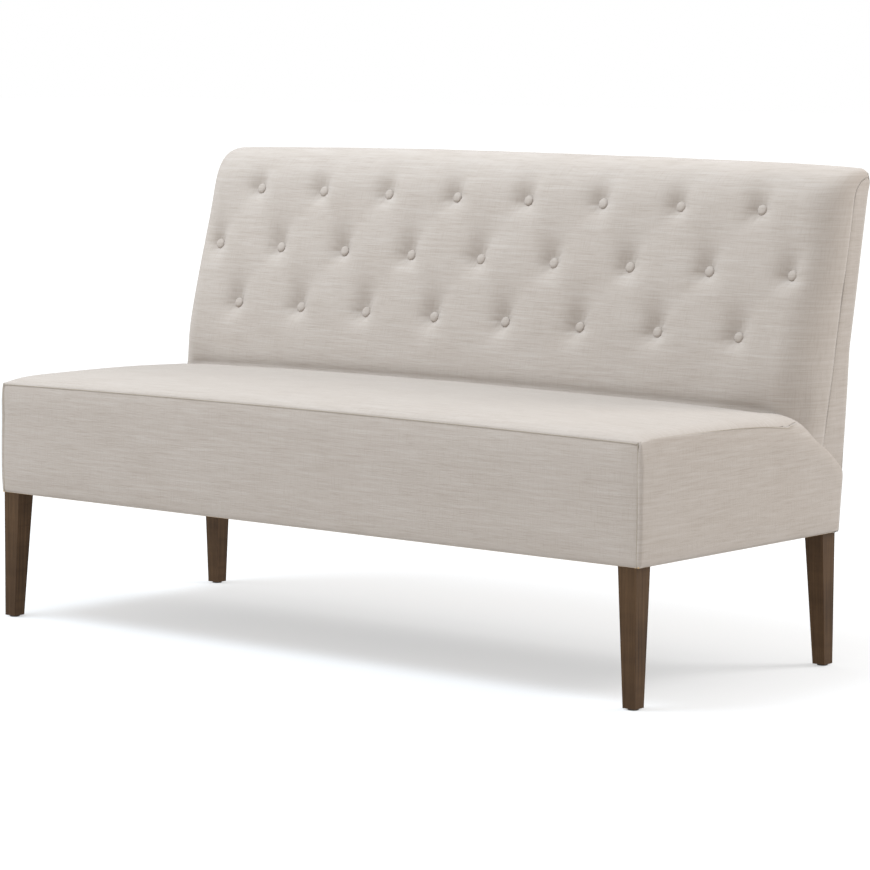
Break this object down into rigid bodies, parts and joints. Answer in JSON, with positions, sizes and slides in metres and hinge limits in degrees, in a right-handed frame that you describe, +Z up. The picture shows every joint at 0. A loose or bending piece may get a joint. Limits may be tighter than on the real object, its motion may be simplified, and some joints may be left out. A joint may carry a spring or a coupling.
{
  "type": "upholstered banquette bench",
  "caption": "Armless upholstered banquette bench with a button-tufted leaning back, a crowned box seat and tapered square wooden legs.",
  "frame": {"origin": "on the floor, under the middle of the bench's width and depth", "axes": "+Z up, the front faces -Y, +X along the width, to the right seen from the front"},
  "size_m": [1.6, 0.7278, 0.947],
  "materials": {
    "linen": "natural slub linen",
    "stained_wood": "dark walnut stain, satin",
    "frame_timber": "planed, unfinished",
    "plywood": "unfinished",
    "zinc_steel": "zinc plated",
    "glide_plastic": "moulded",
    "lining_cloth": "woven lining cloth",
    "liner_board": "plain board",
    "foam": "open cell foam",
    "fibre_fill": "polyester fibre",
    "twine": "waxed twine"
  },
  "bodies": {
    "root": {"leg_front_left": "stained_wood", "leg_front_right": "stained_wood", "leg_back_left": "stained_wood", "leg_back_right": "stained_wood", "leg_glides": "glide_plastic", "leg_hanger_bolts": "zinc_steel", "leg_insert_nuts": "zinc_steel", "corner_post_left": "frame_timber", "corner_post_right": "frame_timber", "front_rail": "frame_timber", "back_rail": "frame_timber", "end_rail_left": "frame_timber", "end_rail_right": "frame_timber", "seat_cross_rails": "frame_timber", "corner_blocks": "frame_timber", "corner_block_screws": "zinc_steel", "frame_dowels": "frame_timber", "spring_clips": "zinc_steel", "seat_springs": "zinc_steel", "spring_tie_wires": "zinc_steel", "deck_cloth": "lining_cloth", "seat_foam": "foam", "seat_batting": "fibre_fill", "seat_top_cover": "linen", "seat_front_band": "linen", "seat_end_band_left": "linen", "seat_end_band_right": "linen", "dust_cover": "lining_cloth", "back_post_left": "frame_timber", "back_post_right": "frame_timber", "back_inner_posts": "frame_timber", "back_top_rail": "frame_timber", "back_lower_rail": "frame_timber", "back_dowels": "frame_timber", "tufting_board": "plywood", "back_foam": "foam", "back_batting": "fibre_fill", "back_front_cover": "linen", "back_side_band_left": "linen", "back_side_band_right": "linen", "outside_back_liner": "liner_board", "outside_back_cover": "linen", "tuft_buttons": "linen", "button_backs": "zinc_steel", "tufting_twine": "twine", "twine_toggles": "frame_timber"}
  },
  "joints": []
}
